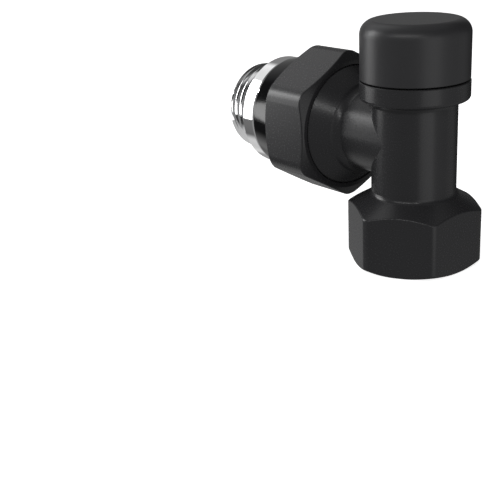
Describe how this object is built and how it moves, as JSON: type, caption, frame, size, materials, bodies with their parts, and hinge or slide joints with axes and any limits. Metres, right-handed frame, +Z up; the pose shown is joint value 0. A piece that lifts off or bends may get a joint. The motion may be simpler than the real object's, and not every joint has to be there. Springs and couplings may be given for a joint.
{
  "type": "lockshield valve",
  "caption": "Angle lockshield radiator valve with screw cap, hexagon pipe inlet, union nut and threaded radiator tail.",
  "frame": {"origin": "centre of the pipe inlet's mouth, in the plane of the hexagon's lower face", "axes": "+Z up the barrel to the cap; the branch with nut and radiator tail runs along -X; +Y completes the right-hand set"},
  "size_m": [0.0646, 0.03, 0.0524],
  "materials": {
    "black_coating": "fine satin black powder coat",
    "cap_plastic": "satin black moulded plastic",
    "chrome": "mirror chrome",
    "brass": "machined brass",
    "steel": "stainless spring steel",
    "rubber": "matt EPDM rubber",
    "slide_plastic": "white slide plastic"
  },
  "bodies": {
    "body": {"valve_body": "black_coating", "bonnet": "brass", "bonnet_o_ring": "rubber", "spindle_clip": "steel"},
    "union": {"snap_ring": "steel", "thrust_washer": "slide_plastic"},
    "nut": {"union_nut": "black_coating"},
    "tail": {"tail_piece": "chrome", "tail_o_ring": "rubber"},
    "cap_seal_ring": {"cap_seal": "rubber"},
    "cap": {"cap": "cap_plastic"},
    "disc": {"disc_holder": "brass", "seat_washer": "rubber", "washer_plate": "steel", "washer_screw": "steel"},
    "spindle": {"spindle": "brass", "spindle_o_rings": "rubber"}
  },
  "joints": [
    {"name": "union_slide", "type": "slide", "parent": "body", "child": "union", "axis": [-1, 0, 0], "range_m": [0, 0.00544]},
    {"name": "nut_turn", "type": "hinge", "parent": "union", "child": "nut", "pos_m": [-0.03, 0, 0.0271], "axis": [-1, 0, 0], "range_deg": [0, 1080]},
    {"name": "tail_swivel", "type": "hinge", "parent": "union", "child": "tail", "pos_m": [-0.03, 0, 0.0271], "axis": [-1, 0, 0], "continuous": true},
    {"name": "cap_lift", "type": "slide", "parent": "body", "child": "cap_seal_ring", "axis": [0, 0, 1], "range_m": [0, 0.0045]},
    {"name": "cap_turn", "type": "hinge", "parent": "cap_seal_ring", "child": "cap", "pos_m": [0, 0, 0.045], "axis": [0, 0, 1], "range_deg": [0, 1080]},
    {"name": "disc_lift", "type": "slide", "parent": "body", "child": "disc", "axis": [0, 0, 1], "range_m": [0, 0.004]},
    {"name": "spindle_turn", "type": "hinge", "parent": "disc", "child": "spindle", "pos_m": [0, 0, 0.04], "axis": [0, 0, 1], "range_deg": [0, 1440]}
  ],
  "couplings": [
    {"joint": "nut_turn", "follows": "union_slide", "rad_per_m": 3463.7},
    {"joint": "cap_turn", "follows": "cap_lift", "rad_per_m": 4188.8},
    {"joint": "spindle_turn", "follows": "disc_lift", "rad_per_m": 6283.2}
  ]
}
